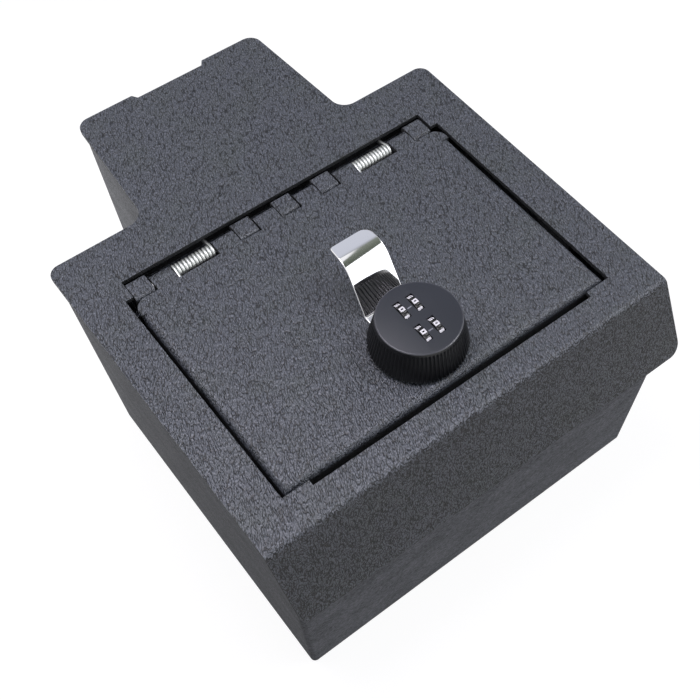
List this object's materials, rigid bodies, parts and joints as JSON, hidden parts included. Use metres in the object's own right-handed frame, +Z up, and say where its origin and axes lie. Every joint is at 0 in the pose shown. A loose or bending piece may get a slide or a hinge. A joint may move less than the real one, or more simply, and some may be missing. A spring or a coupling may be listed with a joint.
{
  "type": "vehicle console safe",
  "caption": "Steel console safe with a T-shaped top plate, a folded front flange, a spring-hinged lid, a combination dial knob and a chrome lift tab.",
  "frame": {"origin": "middle of the safe's bounding box at the underside of its floor", "axes": "+Z up, +Y from the front flange towards the rear tongue, +X to the right seen from the front"},
  "size_m": [0.27, 0.3346, 0.1804],
  "materials": {
    "coat": "textured",
    "wall_coat": "satin",
    "zinc": "zinc plated",
    "chrome": "polished",
    "black_plastic": "satin",
    "dial_plastic": "gloss"
  },
  "bodies": {
    "case": {"top_plate": "coat", "wall_wrap": "wall_coat", "tongue_wrap": "wall_coat", "floor_plate": "wall_coat", "hinge_rail": "coat", "hinge_blocks": "coat", "hinge_pin": "zinc", "spring_left": "zinc", "spring_right": "zinc", "latch_keeper": "coat", "door_rests": "coat"},
    "door": {"door_panel": "coat", "lift_tab": "chrome", "lock_barrel": "zinc", "barrel_washer": "zinc", "barrel_nut": "zinc"},
    "knob": {"knob_shell": "black_plastic", "knob_base": "black_plastic", "knob_screws": "zinc", "dial_axle_front": "zinc", "dial_axle_rear": "zinc", "detent_spring": "zinc", "lock_spindle": "zinc", "latch_cam": "zinc", "cam_washer": "zinc", "cam_screw": "zinc"},
    "wheel_1": {"dial_1": "dial_plastic"},
    "wheel_2": {"dial_2": "dial_plastic"},
    "wheel_3": {"dial_3": "dial_plastic"},
    "wheel_4": {"dial_4": "dial_plastic"}
  },
  "joints": [
    {"name": "door_hinge", "type": "hinge", "parent": "case", "child": "door", "pos_m": [0, 0.03474, 0.1477], "axis": [-1, 0, 0], "range_deg": [0, 100], "stiffness_Nm_per_rad": 0.15, "springref_deg": 114.59, "deforming": ["spring_left", "spring_right"]},
    {"name": "knob_turn", "type": "hinge", "parent": "door", "child": "knob", "pos_m": [0, -0.08896, 0.16], "axis": [0, 0, 1], "range_deg": [-90, 0]},
    {"name": "dial_1_turn", "type": "hinge", "parent": "knob", "child": "wheel_1", "pos_m": [-0.0043, -0.08016, 0.1682], "axis": [1, 0, 0], "continuous": true},
    {"name": "dial_2_turn", "type": "hinge", "parent": "knob", "child": "wheel_2", "pos_m": [0.0043, -0.08016, 0.1682], "axis": [1, 0, 0], "continuous": true},
    {"name": "dial_3_turn", "type": "hinge", "parent": "knob", "child": "wheel_3", "pos_m": [-0.0043, -0.09776, 0.1682], "axis": [1, 0, 0], "continuous": true},
    {"name": "dial_4_turn", "type": "hinge", "parent": "knob", "child": "wheel_4", "pos_m": [0.0043, -0.09776, 0.1682], "axis": [1, 0, 0], "continuous": true}
  ]
}
